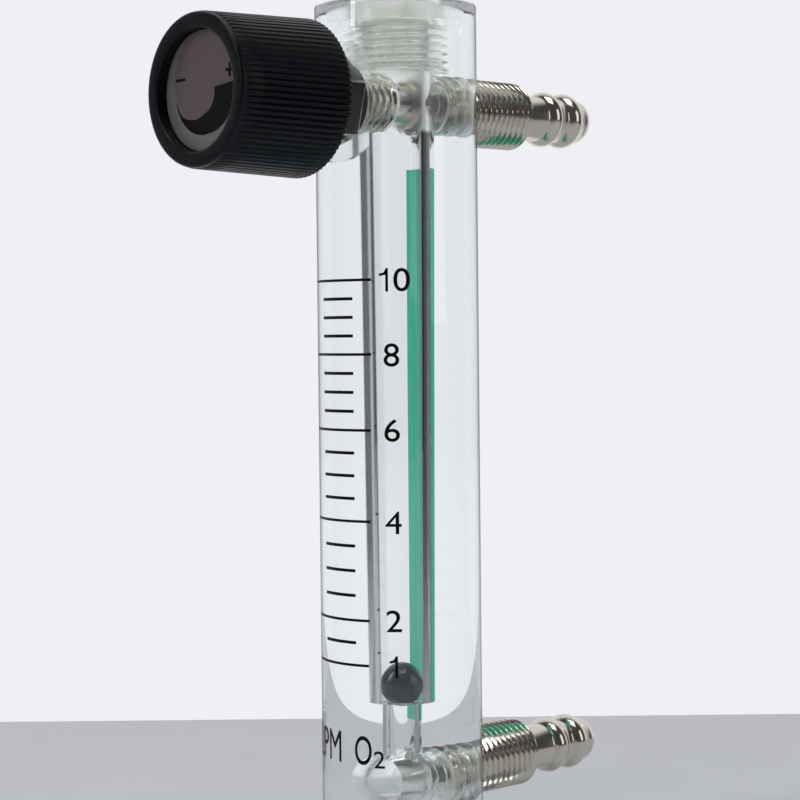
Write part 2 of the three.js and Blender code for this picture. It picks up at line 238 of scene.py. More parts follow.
def reamed_acrylic():
    # The reamed bore wall: clear to look through. Where the wall is seen at a glancing angle, two bands of
    # dark
    # diffuse are mixed in: painted dark reflection that draws two smoky grey lines down the bore, fainter
    # near the float's seat. Beside the valve's drilled hole the wall is rougher, and what lies behind looks
    # blurred.
    material, tree, output, place = new_material("reamed_acrylic_bore")
    height = add_node(tree, "ShaderNodeSeparateXYZ", _0=place).outputs[2]
    valve_height = {"From Min": (UPPER_Z - 4.0) * MM, "From Max": (UPPER_Z - 3.4) * MM}
    rough = add_node(tree, "ShaderNodeMapRange", {**valve_height, "To Max": 0.3}, Value=height)
    below_valve = add_node(tree, "ShaderNodeMapRange",
                           {**valve_height, "To Min": 1.0, "To Max": 0.0}, Value=height)
    fading_height = {"From Min": FLOAT_SEAT_Z * MM, "From Max": (FLOAT_SEAT_Z + 22) * MM}
    above_seat = add_node(tree, "ShaderNodeMapRange", {**fading_height, "To Min": 0.55}, Value=height)
    marks = add_node(tree, "ShaderNodeTexNoise", {"Scale": 1 / (0.35 * MM), "Detail": 3}, Vector=place)
    fine = add_node(tree, "ShaderNodeMapRange", {"To Max": 0.04}, Value=marks.outputs[0])
    roughness = add_node(tree, "ShaderNodeMath",
                         {"operation": "ADD"}, _0=fine.outputs[0], _1=rough.outputs[0])
    clear = add_node(
        tree, "ShaderNodeBsdfPrincipled",
        {"Base Color": linear("#fafcfb"), "IOR": 1.49, "Transmission Weight": 1.0},
        Roughness=roughness.outputs[0],
    )
    # Painted dark reflection: a dark diffuse for the two smoky lines on the bore wall.
    painted_dark_band = add_node(tree, "ShaderNodeBsdfDiffuse", {"Color": linear("#2a292a")})
    glancing = add_node(tree, "ShaderNodeLayerWeight").outputs["Facing"]
    mirrored = add_node(tree, "ShaderNodeMapRange", {"From Min": 0.17, "From Max": 0.26, "To Max": 0.84},
                        Value=glancing)
    level = add_node(tree, "ShaderNodeVectorMath", {"operation": "MULTIPLY", 1: (1, 1, 0)}, _0=place)
    outwards = add_node(tree, "ShaderNodeVectorMath", {"operation": "NORMALIZE"}, _0=level.outputs[0])
    bands = [painted_band_share(tree, outwards.outputs[0], degrees) for degrees in (-114, 12)]
    share = add_node(tree, "ShaderNodeMath", {"operation": "MAXIMUM"}, _0=bands[0], _1=bands[1])
    for limit in (mirrored, below_valve, above_seat):
        share = add_node(tree, "ShaderNodeMath", {"operation": "MULTIPLY"},
                         _0=share.outputs[0], _1=limit.outputs[0])
    mixed = add_node(tree, "ShaderNodeMixShader",
                     _0=share.outputs[0], _1=clear.outputs[0], _2=painted_dark_band.outputs[0])
    let_light_through(tree, mixed.outputs[0], output, "#f4f8f8")
    return material


def machined_acrylic():
    # Acrylic left as the cutter made it: fine rings scatter the light, so the cut looks frosted.
    material, tree, output, place = new_material("machined_acrylic")
    marks = add_node(tree, "ShaderNodeTexNoise",
                     {"Scale": 1 / (0.25 * MM), "Detail": 3}, Vector=place).outputs[0]
    roughness = add_node(tree, "ShaderNodeMapRange", {"To Min": 0.08, "To Max": 0.26}, Value=marks)
    rings = add_node(tree, "ShaderNodeBump", {"Strength": 0.5, "Distance": 0.01 * MM}, Height=marks)
    clear = add_node(
        tree, "ShaderNodeBsdfPrincipled",
        {"Base Color": linear("#f6faf8"), "IOR": 1.49, "Transmission Weight": 1.0},
        Roughness=roughness.outputs[0], Normal=rings.outputs[0],
    )
    frost = add_node(tree, "ShaderNodeBsdfTranslucent", {"Color": linear("#f8faf9")})
    share = add_node(tree, "ShaderNodeMapRange", {"To Min": 0.06, "To Max": 0.3}, Value=marks)
    mixed = add_node(tree, "ShaderNodeMixShader",
                     _0=share.outputs[0], _1=clear.outputs[0], _2=frost.outputs[0])
    let_light_through(tree, mixed.outputs[0], output, "#e6ecea")
    return material


def natural_nylon():
    # Natural nylon, moulded: milky and slightly see-through, so threads and socket show as pale bands.
    material, tree, output, place = new_material("natural_moulded_nylon")
    cloud = add_node(tree, "ShaderNodeTexNoise", {"Scale": 1 / (2.5 * MM)}, Vector=place).outputs[0]
    colour = add_node(tree, "ShaderNodeMix",
                      {"data_type": "RGBA", 6: linear("#f3efeb"), 7: linear("#fbf8f6")}, _0=cloud)
    ripple = add_node(tree, "ShaderNodeBump", {"Strength": 0.3, "Distance": 0.05 * MM}, Height=cloud)
    clear = add_node(
        tree, "ShaderNodeBsdfPrincipled", {"IOR": 1.53, "Roughness": 0.24, "Transmission Weight": 0.86},
        Base_Color=colour.outputs[2], Normal=ripple.outputs[0],
    )
    milk = add_node(tree, "ShaderNodeBsdfTranslucent", {"Color": linear("#fdfdfb")})
    share = add_node(tree, "ShaderNodeMapRange", {"To Min": 0.12, "To Max": 0.4}, Value=cloud)
    mixed = add_node(tree, "ShaderNodeMixShader",
                     _0=share.outputs[0], _1=clear.outputs[0], _2=milk.outputs[0])
    let_light_through(tree, mixed.outputs[0], output, "#e2e3df")
    return material


def nickel_plate():
    # Bright nickel over turned brass: warm grey mirror, softened by the fine turning marks below it.
    material, tree, output, place = new_material("bright_nickel_plate_on_turned_brass")
    stain = add_node(tree, "ShaderNodeTexNoise", {"Scale": 1 / (3.0 * MM)}, Vector=place).outputs[0]
    marks = add_node(tree, "ShaderNodeTexNoise",
                     {"Scale": 1 / (0.12 * MM), "Detail": 3}, Vector=place).outputs[0]
    colour = add_node(tree, "ShaderNodeMix",
                      {"data_type": "RGBA", 6: linear("#cfc8b8"), 7: linear("#ddd8cc")}, _0=stain)
    roughness = add_node(tree, "ShaderNodeMapRange", {"To Min": 0.10, "To Max": 0.22}, Value=stain)
    turning = add_node(tree, "ShaderNodeBump", {"Strength": 0.4, "Distance": 0.004 * MM}, Height=marks)
    shader = add_node(tree, "ShaderNodeBsdfPrincipled", {"Metallic": 1.0}, Base_Color=colour.outputs[2],
                      Roughness=roughness.outputs[0], Normal=turning.outputs[0])
    tree.links.new(shader.outputs[0], output.inputs["Surface"])
    return material


def turned_steel():
    # Stainless steel rod, turned: fine rings across the axis give it a silky grey shine.
    material, tree, output, place = new_material("turned_stainless_steel")
    rings = add_node(tree, "ShaderNodeTexWave",
                     {"bands_direction": "Y", "Scale": 1 / (0.25 * MM) / 20, "Distortion": 1.5},
                     Vector=place)
    stain = add_node(tree, "ShaderNodeTexNoise", {"Scale": 1 / (2.0 * MM)}, Vector=place).outputs[0]
    colour = add_node(tree, "ShaderNodeMix",
                      {"data_type": "RGBA", 6: linear("#a9a8a4"), 7: linear("#bcbbb6")}, _0=stain)
    roughness = add_node(tree, "ShaderNodeMapRange", {"To Min": 0.22, "To Max": 0.36}, Value=stain)
    turning = add_node(tree, "ShaderNodeBump",
                       {"Strength": 0.4, "Distance": 0.01 * MM}, Height=rings.outputs[1])
    shader = add_node(tree, "ShaderNodeBsdfPrincipled", {"Metallic": 1.0}, Base_Color=colour.outputs[2],
                      Roughness=roughness.outputs[0], Normal=turning.outputs[0])
    tree.links.new(shader.outputs[0], output.inputs["Surface"])
    return material


def moulded_abs():
    # Black ABS from a spark-eroded mould: a fine satin grain that catches a soft grey sheen, and a few
    # specks of lint.
    material, tree, output, place = new_material("black_moulded_abs")
    grain = add_node(tree, "ShaderNodeTexNoise",
                     {"Scale": 1 / (0.16 * MM), "Detail": 3}, Vector=place).outputs[0]
    patch_noise = add_node(tree, "ShaderNodeTexNoise",
                    {"Scale": 1 / (4.0 * MM), "Detail": 3}, Vector=place).outputs[0]
    specks = add_node(tree, "ShaderNodeTexVoronoi", {"Scale": 1 / (1.3 * MM)}, Vector=place)
    lint = add_node(tree, "ShaderNodeMapRange", {"From Max": 0.045, "To Min": 1.0, "To Max": 0.0},
                    Value=specks.outputs["Distance"])
    black = add_node(tree, "ShaderNodeMix",
                     {"data_type": "RGBA", 6: linear("#020409"), 7: linear("#060a14")}, _0=patch_noise)
    colour = add_node(tree, "ShaderNodeMix", {"data_type": "RGBA", 7: linear("#5b5f66")},
                      _0=lint.outputs[0], _6=black.outputs[2])
    roughness = add_node(tree, "ShaderNodeMapRange", {"To Min": 0.28, "To Max": 0.42}, Value=patch_noise)
    satin = add_node(tree, "ShaderNodeBump", {"Strength": 0.45, "Distance": 0.012 * MM}, Height=grain)
    shader = add_node(
        tree, "ShaderNodeBsdfPrincipled", {"IOR": 1.53, "Specular IOR Level": 0.2},
        Base_Color=colour.outputs[2], Roughness=roughness.outputs[0], Normal=satin.outputs[0],
    )
    tree.links.new(shader.outputs[0], output.inputs["Surface"])
    return material


def black_anodised():
    # Black anodised aluminium nut: glossy near-black with a brown cast.
    material, tree, output, place = new_material("black_anodised_aluminium")
    cloud = add_node(tree, "ShaderNodeTexNoise", {"Scale": 1 / (1.5 * MM)}, Vector=place).outputs[0]
    marks = add_node(tree, "ShaderNodeTexNoise", {"Scale": 1 / (0.3 * MM)}, Vector=place).outputs[0]
    colour = add_node(tree, "ShaderNodeMix",
                      {"data_type": "RGBA", 6: linear("#141110"), 7: linear("#29231f")}, _0=cloud)
    roughness = add_node(tree, "ShaderNodeMapRange", {"To Min": 0.14, "To Max": 0.28}, Value=cloud)
    milled = add_node(tree, "ShaderNodeBump", {"Strength": 0.4, "Distance": 0.006 * MM}, Height=marks)
    shader = add_node(
        tree, "ShaderNodeBsdfPrincipled", {"Metallic": 0.6, "Coat Weight": 0.6, "Coat Roughness": 0.08},
        Base_Color=colour.outputs[2], Roughness=roughness.outputs[0], Normal=milled.outputs[0],
    )
    tree.links.new(shader.outputs[0], output.inputs["Surface"])
    return material


def painted_edge_glint():
    # Edges of the nut painted pale in patches: a painted highlight, standing in for the glint each bevelled
    # edge catches.
    material, tree, output, place = new_material("painted_glint_edge")
    patch_noise = add_node(tree, "ShaderNodeTexNoise",
                    {"Scale": 1 / (0.9 * MM), "Detail": 3}, Vector=place).outputs[0]
    colour = add_node(tree, "ShaderNodeMix",
                      {"data_type": "RGBA", 6: linear("#57514b"), 7: linear("#f1ede6")}, _0=patch_noise)
    roughness = add_node(tree, "ShaderNodeMapRange", {"To Min": 0.25, "To Max": 0.45}, Value=patch_noise)
    shader = add_node(tree, "ShaderNodeBsdfPrincipled", {"Metallic": 0.9}, Base_Color=colour.outputs[2],
                      Roughness=roughness.outputs[0])
    tree.links.new(shader.outputs[0], output.inputs["Surface"])
    return material


def nitrile_rubber():
    # Moulded nitrile rubber: dull black with a slight bloom.
    material, tree, output, place = new_material("black_nitrile_rubber")
    bloom = add_node(tree, "ShaderNodeTexNoise",
                     {"Scale": 1 / (0.8 * MM), "Detail": 3}, Vector=place).outputs[0]
    colour = add_node(tree, "ShaderNodeMix",
                      {"data_type": "RGBA", 6: linear("#101010"), 7: linear("#1d1d1e")}, _0=bloom)
    roughness = add_node(tree, "ShaderNodeMapRange", {"To Min": 0.45, "To Max": 0.65}, Value=bloom)
    skin = add_node(tree, "ShaderNodeBump", {"Strength": 0.4, "Distance": 0.02 * MM}, Height=bloom)
    shader = add_node(tree, "ShaderNodeBsdfPrincipled", {"IOR": 1.52}, Base_Color=colour.outputs[2],
                      Roughness=roughness.outputs[0], Normal=skin.outputs[0])
    tree.links.new(shader.outputs[0], output.inputs["Surface"])
    return material


def clear_silicone():
    # Clear silicone ring: translucent and soft-edged, like wet wax.
    material, tree, output, place = new_material("clear_silicone")
    cloud = add_node(tree, "ShaderNodeTexNoise", {"Scale": 1 / (0.7 * MM)}, Vector=place).outputs[0]
    colour = add_node(tree, "ShaderNodeMix",
                      {"data_type": "RGBA", 6: linear("#dfe1dc"), 7: linear("#eef0ec")}, _0=cloud)
    roughness = add_node(tree, "ShaderNodeMapRange", {"To Min": 0.3, "To Max": 0.5}, Value=cloud)
    shader = add_node(tree, "ShaderNodeBsdfPrincipled", {"IOR": 1.41, "Transmission Weight": 0.85},
                      Base_Color=colour.outputs[2], Roughness=roughness.outputs[0])
    let_light_through(tree, shader.outputs[0], output, "#d5d8d4")
    return material


def foil_with_painted_reflection():
    # Aluminium foil under a clear film with a smooth, even shine. Its colours are a painted reflection: a
    # mauve disc, and a grey crescent round it that widens towards the lower left.
    material, tree, output, place = new_material("foil_under_film_painted_reflection")
    grain = add_node(tree, "ShaderNodeTexNoise", {"Scale": 1 / (0.08 * MM)}, Vector=place)
    # Painted reflection: the grey crescent is centred off the disc, so it widens at the lower left.
    painted_reflection_middle = (0.9 * MM, -LABEL_FRONT * MM, (UPPER_Z + 1.3) * MM)
    from_middle = add_node(tree, "ShaderNodeVectorMath",
                           {"operation": "DISTANCE", 1: painted_reflection_middle}, _0=place)
    painted_reflection_crescent = add_node(tree, "ShaderNodeMapRange", {"From Min": 6.3 * MM, "From Max": 7.0 * MM},
                   Value=from_middle.outputs["Value"])
    colour = add_node(tree, "ShaderNodeMix",
                      {"data_type": "RGBA", 6: linear("#78686d"), 7: linear("#8d8c88")}, _0=painted_reflection_crescent.outputs[0])
    roughness = add_node(tree, "ShaderNodeMapRange",
                         {"To Min": 0.30, "To Max": 0.42}, Value=grain.outputs[0])
    shader = add_node(
        tree, "ShaderNodeBsdfPrincipled", {"Metallic": 0.35, "Coat Weight": 0.7, "Coat Roughness": 0.12},
        Base_Color=colour.outputs[2], Roughness=roughness.outputs[0],
    )
    tree.links.new(shader.outputs[0], output.inputs["Surface"])
    return material


def screen_ink(name, first, second, glow=0.0, shine=0.5):
    # Screen-printed epoxy ink: even, a touch rougher than the plastic below it. The share that glows passes
    # light from behind, which keeps the colour bright through the rod.
    material, tree, output, place = new_material(name)
    mottle = add_node(tree, "ShaderNodeTexNoise", {"Scale": 1 / (0.5 * MM)}, Vector=place).outputs[0]
    colour = add_node(tree, "ShaderNodeMix",
                      {"data_type": "RGBA", 6: linear(first), 7: linear(second)}, _0=mottle)
    roughness = add_node(tree, "ShaderNodeMapRange", {"To Min": 0.35, "To Max": 0.5}, Value=mottle)
    ink = add_node(tree, "ShaderNodeBsdfPrincipled", {"IOR": 1.5, "Specular IOR Level": shine},
                   Base_Color=colour.outputs[2], Roughness=roughness.outputs[0])
    behind = add_node(tree, "ShaderNodeBsdfTranslucent", {"Color": linear(second)})
    mixed = add_node(tree, "ShaderNodeMixShader", {0: glow}, _1=ink.outputs[0], _2=behind.outputs[0])
    tree.links.new(mixed.outputs[0], output.inputs["Surface"])
    return material


def black_glass():
    # Polished black glass: deep charcoal with a sharp highlight.
    material, tree, output, place = new_material("polished_black_glass")
    swirl = add_node(tree, "ShaderNodeTexNoise",
                     {"Scale": 1 / (1.8 * MM), "Detail": 3}, Vector=place).outputs[0]
    colour = add_node(tree, "ShaderNodeMix",
                      {"data_type": "RGBA", 6: linear("#1e2022"), 7: linear("#313436")}, _0=swirl)
    roughness = add_node(tree, "ShaderNodeMapRange", {"To Min": 0.08, "To Max": 0.2}, Value=swirl)
    shader = add_node(tree, "ShaderNodeBsdfPrincipled", {"IOR": 1.52}, Base_Color=colour.outputs[2],
                      Roughness=roughness.outputs[0])
    tree.links.new(shader.outputs[0], output.inputs["Surface"])
    return material


POLISHED = polished_acrylic()
REAMED = reamed_acrylic()
MACHINED = machined_acrylic()
NYLON = natural_nylon()
NICKEL = nickel_plate()
STEEL = turned_steel()
ABS = moulded_abs()
ANODISED = black_anodised()
EDGE_GLINT = painted_edge_glint()
RUBBER = nitrile_rubber()
SILICONE = clear_silicone()
FOIL = foil_with_painted_reflection()
BLACK_INK = screen_ink("black_screen_ink", "#040405", "#09090c", shine=0.12)
GREEN_INK = screen_ink("green_screen_ink", "#7fe2cb", "#8bead5", 0.9)
GLASS = black_glass()


# Shapes

UPRIGHT = Matrix.Identity(4)


def to_rear(z):
    return Matrix.Translation((0, 0, z)) @ Matrix.Rotation(-math.pi / 2, 4, "X")


def to_front(z):
    return Matrix.Translation((0, 0, z)) @ Matrix.Rotation(math.pi / 2, 4, "X")


def rows(start, end, pitch):
    """Heights from start to end, close enough together to carry a thread of that pitch."""
    count = max(2, round(abs(end - start) / pitch * THREAD_ROWS))
    return [start + (end - start) * i / count for i in range(count + 1)]


def spun(outline, steps=ROUND_STEPS, closed=False):
    """A round solid about Z from an outline of (radius, height) points in millimetres."""
    bm = bmesh.new()
    points = [bm.verts.new((r, 0, z)) for r, z in outline]
    edges = [bm.edges.new(pair) for pair in zip(points, points[1:])]
    if closed:
        edges.append(bm.edges.new((points[-1], points[0])))
    bmesh.ops.spin(bm, geom=points + edges, cent=(0, 0, 0), axis=(0, 0, 1), dvec=(0, 0, 0),
                   angle=ALL_ROUND, steps=steps, use_merge=True, use_duplicate=False)
    bmesh.ops.remove_doubles(bm, verts=bm.verts, dist=1e-5)
    bmesh.ops.dissolve_degenerate(bm, edges=bm.edges, dist=1e-6)
    bmesh.ops.recalc_face_normals(bm, faces=bm.faces)
    return bm


def cut_thread(bm, radius, start, end, pitch, depth=THREAD_DEPTH, run_out=0.6):
    """Presses a right-hand thread into the round face of that radius, from start to end."""
    for vert in bm.verts:
        r = math.hypot(vert.co.x, vert.co.y)
        inside = min(vert.co.z - start, end - vert.co.z)
        if abs(r - radius) > 0.02 or inside < 0:
            continue
        turn = math.atan2(vert.co.y, vert.co.x) / ALL_ROUND
        phase = (vert.co.z / pitch - turn) % 1.0
        crest = min(1.0, max(0.0, abs(2 * phase - 1) * 1.25 - 0.12))
        share = (r - depth * (1 - crest) * min(1.0, inside / (run_out * pitch))) / r
        vert.co.x *= share
        vert.co.y *= share
    return bm


def finished(bm, name, material, body, replaces=None, place=UPRIGHT, sharp=32):
    """Makes the piece from a mesh in millimetres and hands it to the frame."""
    bm.transform(Matrix.Scale(MM, 4) @ place)
    mesh = bpy.data.meshes.new(name)
    bm.to_mesh(mesh)
    bm.free()
    return register(mesh, name, material, body, replaces, sharp)


def register(mesh, name, material, body, replaces=None, sharp=32):
    """Makes the piece from a mesh in metres. material is None for a mesh that was cut and has its own."""
    if material is not None:
        mesh.materials.clear()
        mesh.materials.append(material)
    mesh.polygons.foreach_set("use_smooth", [True] * len(mesh.polygons))
    mesh.set_sharp_from_angle(angle=math.radians(sharp))
    piece = bpy.data.objects.new(name, mesh)
    bpy.context.scene.collection.objects.link(piece)
    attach(piece, body)
    if replaces:
        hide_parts(*([replaces] if isinstance(replaces, str) else replaces))
    return piece


def scratch_object(bm, place, material):
    """A tool for a boolean cut, removed once the cut is made."""
    bm.transform(Matrix.Scale(MM, 4) @ place)
    mesh = bpy.data.meshes.new("tool")
    bm.to_mesh(mesh)
    bm.free()
    mesh.materials.append(material)
    tool = bpy.data.objects.new("tool", mesh)
    bpy.context.scene.collection.objects.link(tool)
    return tool


def cut_away(blank, tools):
    """The blank's mesh with every tool cut out of it. All of them are removed afterwards."""
    for tool in tools:
        cut = blank.modifiers.new("cut", "BOOLEAN")
        cut.operation, cut.solver, cut.object = "DIFFERENCE", "EXACT", tool
        cut.material_mode = "TRANSFER"
    evaluated = blank.evaluated_get(bpy.context.evaluated_depsgraph_get())
    mesh = bpy.data.meshes.new_from_object(evaluated)
    for used in [blank, *tools]:
        bpy.data.objects.remove(used)
    return mesh


# Rod body


def body_tools():
    over = ROD_R + 1
    seal_floor = ROD_H - PLUG_HEAD_H - PLUG_SEAL_T - 0.1
    plug_hole = PLUG_THREAD_R + THREAD_GAP
    plug_floor = PLUG_LOW.z - 0.1
    bore = spun([
        (0, LOWER_Z), (INLET_HOLE_R, LOWER_Z), (INLET_HOLE_R, FLOAT_SEAT_Z), (BORE_BOTTOM_R, FLOAT_SEAT_Z),
        (BORE_TOP_R, UPPER_Z), (BORE_TOP_R, plug_floor + 0.05), (0, plug_floor + 0.05),
    ], 128)
    plug = spun([
        (0, plug_floor), *[(plug_hole, z) for z in rows(plug_floor, seal_floor, PANEL_PITCH)],
        (plug_hole + PLUG_SEAL_T / 2, seal_floor), (plug_hole + PLUG_SEAL_T / 2, ROD_H - PLUG_HEAD_H - 0.05),
        (PLUG_HEAD_R + PLUG_HEAD_GAP, ROD_H - PLUG_HEAD_H - 0.05), (PLUG_HEAD_R + PLUG_HEAD_GAP, ROD_H + 1),
        (0, ROD_H + 1),
    ])
    cut_thread(plug, plug_hole, plug_floor, seal_floor, PANEL_PITCH)
    hole = PORT_R + THREAD_GAP
    lower = spun([
        (0, LOWER_DRILL_IN - DRILL_POINT), (PORT_DRILL_R, LOWER_DRILL_IN), (PORT_DRILL_R, LOWER_THREAD_IN),
        *[(hole, y) for y in rows(LOWER_THREAD_IN, REAR_SEAT, PANEL_PITCH)],
        (REAR_SPOT_R, REAR_SEAT), (REAR_SPOT_R, over), (0, over),
    ])
    cut_thread(lower, hole, LOWER_THREAD_IN, REAR_SEAT, PANEL_PITCH)
    rear = spun([
        (0, -BUSHING_IN - 1), (PORT_DRILL_R, -BUSHING_IN - 1), (PORT_DRILL_R, UPPER_THREAD_IN),
        *[(hole, y) for y in rows(UPPER_THREAD_IN, REAR_SEAT, PANEL_PITCH)],
        (REAR_SPOT_R, REAR_SEAT), (REAR_SPOT_R, over), (0, over),
    ])
    cut_thread(rear, hole, UPPER_THREAD_IN, REAR_SEAT, PANEL_PITCH)
    front = spun([
        (0, BUSHING_IN), *[(hole, y) for y in rows(BUSHING_IN, FRONT_SEAT, PANEL_PITCH)],
        (FRONT_SPOT_R, FRONT_SEAT), (FRONT_SPOT_R, over), (0, over),
    ])
    cut_thread(front, hole, BUSHING_IN, FRONT_SEAT, PANEL_PITCH)
    return [
        scratch_object(bore, UPRIGHT, REAMED), scratch_object(plug, UPRIGHT, MACHINED),
        scratch_object(lower, to_rear(LOWER_Z), MACHINED), scratch_object(rear, to_rear(UPPER_Z), MACHINED),
        scratch_object(front, to_front(UPPER_Z), MACHINED),
    ]


def rod_body():
    chamfer = 0.25
    corner = chamfer * 0.3
    blank = spun([
        (0, 0), (ROD_R - chamfer, 0), (ROD_R - corner, corner), (ROD_R, chamfer),
        (ROD_R, ROD_H - chamfer), (ROD_R - corner, ROD_H - corner), (ROD_R - chamfer, ROD_H), (0, ROD_H),
    ], ROD_STEPS)
    mesh = cut_away(scratch_object(blank, UPRIGHT, POLISHED), body_tools())
    register(mesh, "rod_body", None, "meter", "body", sharp=15)


# Plug, fittings, valve


def top_plug():
    neck = PLUG_THREAD_R - PLUG_SEAL_T
    head = ROD_H - PLUG_HEAD_H
    thread_top = head - PLUG_SEAL_T - 0.1
    blank = spun([
        (0, PLUG_LOW.z), (PLUG_THREAD_R - 0.5, PLUG_LOW.z),
        *[(PLUG_THREAD_R, z) for z in rows(PLUG_LOW.z + 0.3, thread_top, PANEL_PITCH)],
        (neck, thread_top), (neck, head), (PLUG_HEAD_R - 0.1, head), (PLUG_HEAD_R, head + 0.15),
        (PLUG_HEAD_R, ROD_H - 0.3), (PLUG_HEAD_R - 0.3, ROD_H), (0, ROD_H),
    ])
    cut_thread(blank, PLUG_THREAD_R, PLUG_LOW.z + 0.3, thread_top, PANEL_PITCH)
    socket = bmesh.new()
    bmesh.ops.create_cone(socket, cap_ends=True, segments=6, radius1=SOCKET_AF / math.sqrt(3),
                          radius2=SOCKET_AF / math.sqrt(3), depth=SOCKET_DEPTH + 1)
    middle_z = ROD_H - SOCKET_DEPTH + (SOCKET_DEPTH + 1) / 2
    tool = scratch_object(socket, Matrix.Translation((0, 0, middle_z)), NYLON)
    mesh = cut_away(scratch_object(blank, UPRIGHT, NYLON), [tool])
    register(mesh, "threaded_plug", None, "meter", "top_plug")


def arc(centre, radius, start, end, steps):
    """Points on a circular arc, from start to end in degrees."""
    angles = [math.radians(start + (end - start) * i / steps) for i in range(steps + 1)]
    return [(centre[0] + radius * math.cos(a), centre[1] + radius * math.sin(a)) for a in angles]


def barb(crest):
    """Outline of one round barb: a full bead with a small fillet at each foot."""
    bead = 1.55
    return [
        (FITTING_NECK_R, crest - 1.7), (FITTING_NECK_R + 0.06, crest - 1.5),
        *arc((BARB_R - bead, crest), bead, -62, 62, 16),
        (FITTING_NECK_R + 0.06, crest + 1.5), (FITTING_NECK_R, crest + 1.7),
    ]


def hose_fitting(name, node, z):
    port, panel = PORT_R, PANEL_R
    crests = (THREAD_END + 6.3, THREAD_END + 10.4)
    tip = 1.5
    outline = [
        (FITTING_BORE_R, FITTING_IN), (port - 0.45, FITTING_IN),
        *[(port, y) for y in rows(FITTING_IN + 0.3, SHOULDER - 0.2, PANEL_PITCH)],
        (port, SHOULDER), (panel - 0.4, SHOULDER),
        *[(panel, y) for y in rows(SHOULDER + 0.3, THREAD_END - 0.45, PANEL_PITCH)],
        (panel - 0.62, THREAD_END - 0.05), (panel - 0.75, THREAD_END), (FITTING_NECK_R + 0.25, THREAD_END),
        (FITTING_NECK_R, THREAD_END + 0.3),
        *[point for crest in crests for point in barb(crest)],
        *arc((FITTING_NECK_R - tip, FITTING_OUT - tip), tip, 0, 75, 8),
        (FITTING_BORE_R + 0.25, FITTING_OUT), (FITTING_BORE_R, FITTING_OUT - 0.25),
    ]
    bm = spun(outline, closed=True)
    cut_thread(bm, port, FITTING_IN + 0.3, SHOULDER - 0.2, PANEL_PITCH)
    cut_thread(bm, panel, SHOULDER + 0.3, THREAD_END - 0.45, PANEL_PITCH)
    finished(bm, name, NICKEL, "meter", node, to_rear(z))


def valve_bushing():
    groove = PORT_DRILL_R - NOSE_SEAL_T
    groove_low = (NOSE_END + VALVE_SEAT - NOSE_SEAL_T) / 2 - 0.05
    groove_high = groove_low + NOSE_SEAL_T + 0.1
    collar_start = NOSE_END + COLLAR_LENGTH
    outline = [
        (ORIFICE_R, NOSE_END), (COLLAR_R, NOSE_END), (COLLAR_R, groove_low), (groove, groove_low),
        (groove, groove_high), (COLLAR_R, groove_high), (COLLAR_R, collar_start - 0.1),
        (COLLAR_R - 0.1, collar_start), (BUSHING_NOSE_R, collar_start),
        (BUSHING_NOSE_R, BUSHING_IN), (PORT_R - 0.45, BUSHING_IN),
        *[(PORT_R, y) for y in rows(BUSHING_IN + 0.3, FRONT_SEAT, PANEL_PITCH)],
        (BUSHING_NECK_R, FRONT_SEAT), (BUSHING_NECK_R, NUT_END - 0.3), (BUSHING_NECK_R - 0.3, NUT_END),
        (SPINDLE_BORE_R + 0.2, NUT_END), (SPINDLE_BORE_R, NUT_END - 0.2), (SPINDLE_BORE_R, VALVE_SEAT),
        (ORIFICE_R, VALVE_SEAT),
    ]
    bm = spun(outline, closed=True)
    cut_thread(bm, PORT_R, BUSHING_IN + 0.3, FRONT_SEAT, PANEL_PITCH)
    past = BUSHING_NOSE_R + 1
    ports = spun([(0, -past), (NOSE_PORT_R, -past), (NOSE_PORT_R, past), (0, past)], 48)
    ports.transform(Matrix.Rotation(math.pi / 2, 4, "Y"))
    blank, tool = (scratch_object(shape, to_front(UPPER_Z), NICKEL) for shape in (bm, ports))
    register(cut_away(blank, [tool]), "threaded_bushing", None, "meter", "valve_bushing")


def valve_washer():
    inner, edge = BUSHING_NECK_R + THREAD_GAP, 0.35
    low, high = FRONT_SEAT + 0.05, WASHER_END
    outline = [
        (inner, low), *arc((WASHER_R - edge, low + edge), edge, -90, 0, 5),
        *arc((WASHER_R - edge, high - edge), edge, 0, 90, 5), (inner, high),
    ]
    finished(spun(outline, closed=True), "rubber_washer", RUBBER, "meter", "valve_washer",
             to_front(UPPER_Z))


def valve_nut():
    bm = bmesh.new()
    corner = NUT_AF / math.sqrt(3)
    bmesh.ops.create_cone(bm, cap_ends=True, segments=6, radius1=corner, radius2=corner,
                          depth=NUT_END - NUT_START)
    bm.transform(Matrix.Rotation(math.radians(-NUT_TURN), 4, "Z"))
    bevelled = bmesh.ops.bevel(bm, geom=list(bm.edges), offset=0.2, offset_type="OFFSET", segments=3,
                               profile=0.5, affect="EDGES", material=-1)
    # The bevels take the second slot: a painted highlight along each edge of the nut.
    for face in bevelled["faces"]:
        face.material_index = 1
    nut_place = to_front(UPPER_Z) @ Matrix.Translation((0, 0, (NUT_START + NUT_END) / 2))
    blank = scratch_object(bm, nut_place, ANODISED)
    blank.data.materials.append(EDGE_GLINT)
    hole = BUSHING_NECK_R + THREAD_GAP
    drill = spun([(0, NUT_START - 1), (hole, NUT_START - 1), (hole, NUT_END + 1), (0, NUT_END + 1)], 64)
    tool = scratch_object(drill, to_front(UPPER_Z), ANODISED)
    register(cut_away(blank, [tool]), "hexagon_nut", None, "meter", "valve_nut", sharp=25)


